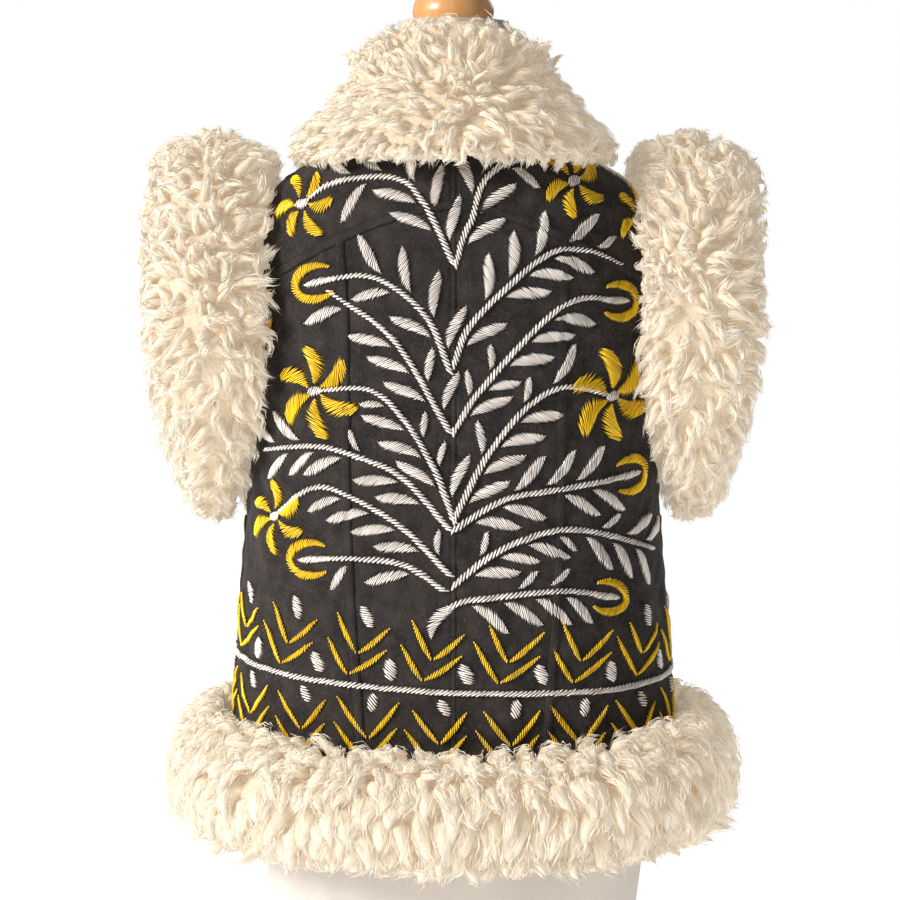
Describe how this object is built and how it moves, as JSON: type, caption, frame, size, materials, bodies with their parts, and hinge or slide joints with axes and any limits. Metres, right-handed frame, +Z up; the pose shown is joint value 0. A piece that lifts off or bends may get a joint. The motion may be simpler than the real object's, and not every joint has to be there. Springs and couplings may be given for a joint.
{
  "type": "embroidered folk vest on a dress form",
  "caption": "Sleeveless hip-length folk vest of dark napped cloth with embroidered back and fronts and thick fleece trim, resting on a limbless dress form with a wooden neck knob.",
  "frame": {"origin": "centre of the dress form's flat underside, on the surface it stands on", "axes": "+Z up, +Y to the vest's front, +X to the wearer's right-hand side"},
  "size_m": [0.5384, 0.41, 0.91],
  "materials": {
    "napped_cloth": "charcoal cloth with a fine raised nap, embroidered in white and yellow thread",
    "fleece": "thick cream sheep fleece in soft curling locks",
    "form_cover": "off-white fine cotton cover stretched smooth",
    "turned_wood": "light wood with satin varnish"
  },
  "bodies": {
    "root": {"back_yoke_left": "napped_cloth", "back_yoke_right": "napped_cloth", "centre_back_left": "napped_cloth", "centre_back_right": "napped_cloth", "side_back_left": "napped_cloth", "side_back_right": "napped_cloth", "front_left": "napped_cloth", "front_right": "napped_cloth", "fleece_collar": "fleece", "fleece_armhole_left": "fleece", "fleece_armhole_right": "fleece", "fleece_hem": "fleece", "form_torso": "form_cover", "neck_knob": "turned_wood"}
  },
  "joints": []
}
